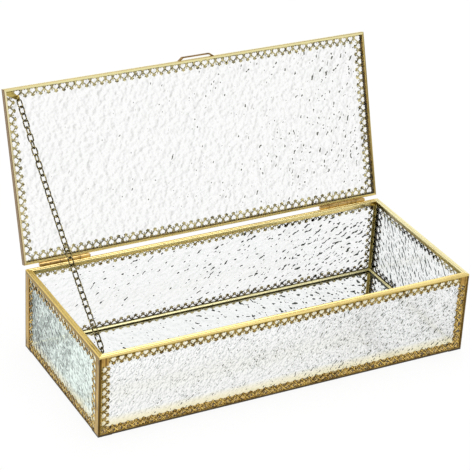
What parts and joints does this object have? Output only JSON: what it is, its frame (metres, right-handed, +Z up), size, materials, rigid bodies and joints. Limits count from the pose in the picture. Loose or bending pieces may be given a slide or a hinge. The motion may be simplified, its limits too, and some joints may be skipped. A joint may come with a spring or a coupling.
{
  "type": "glass casket box",
  "caption": "Long low casket of textured panes in pierced brass strip, with a mirror floor and a hinged glass lid held open by a chain.",
  "frame": {"origin": "centre of the flat underside that the box rests on", "axes": "+X along the box to the right, +Y to the back where the hinges are, +Z up"},
  "size_m": [0.25, 0.1478, 0.1614],
  "materials": {
    "textured_glass": "satin",
    "bright_brass": "polished",
    "lace_brass": "polished",
    "aged_brass": "satin",
    "dark_brass": "satin",
    "mirror": "polished",
    "black_board": "matte",
    "black_pads": "matte"
  },
  "bodies": {
    "box": {"backing_board": "black_board", "corner_pads": "black_pads", "mirror_floor": "mirror", "glass_front": "textured_glass", "glass_right": "textured_glass", "glass_back": "textured_glass", "glass_left": "textured_glass", "base_rail_front": "bright_brass", "base_rail_right": "bright_brass", "base_rail_back": "bright_brass", "base_rail_left": "bright_brass", "rim_rail_front": "bright_brass", "rim_rail_right": "bright_brass", "rim_rail_back": "bright_brass", "rim_rail_left": "bright_brass", "corner_post_front_left": "bright_brass", "corner_post_front_right": "bright_brass", "corner_post_back_left": "bright_brass", "corner_post_back_right": "bright_brass", "inner_angle_front_left": "aged_brass", "inner_angle_front_right": "aged_brass", "inner_angle_back_left": "aged_brass", "inner_angle_back_right": "aged_brass", "lace_front_top": "lace_brass", "lace_front_bottom": "lace_brass", "lace_front_left": "lace_brass", "lace_front_right": "lace_brass", "lace_right_top": "lace_brass", "lace_right_bottom": "lace_brass", "lace_right_front": "lace_brass", "lace_right_back": "lace_brass", "lace_back_top": "lace_brass", "lace_back_bottom": "lace_brass", "lace_back_left": "lace_brass", "lace_back_right": "lace_brass", "lace_left_top": "lace_brass", "lace_left_bottom": "lace_brass", "lace_left_front": "lace_brass", "lace_left_back": "lace_brass", "lace_corner_plates": "aged_brass", "box_chain_eye": "dark_brass", "hinge_left_box_leaf": "aged_brass", "hinge_right_box_leaf": "aged_brass", "hinge_left_pin": "aged_brass", "hinge_right_pin": "aged_brass", "stay_chain": "dark_brass"},
    "lid": {"lid_glass": "textured_glass", "lid_rail_front": "bright_brass", "lid_rail_right": "bright_brass", "lid_rail_back": "bright_brass", "lid_rail_left": "bright_brass", "lid_lace_front": "lace_brass", "lid_lace_right": "lace_brass", "lid_lace_back": "lace_brass", "lid_lace_left": "lace_brass", "lid_chain_gusset": "aged_brass", "pull_tab": "bright_brass", "hinge_left_lid_leaf": "aged_brass", "hinge_right_lid_leaf": "aged_brass"}
  },
  "joints": [
    {"name": "lid_hinge", "type": "hinge", "parent": "box", "child": "lid", "pos_m": [0, 0.05625, 0.0548], "axis": [1, 0, 0], "range_deg": [0, 107.4], "deforming": ["stay_chain"]}
  ]
}
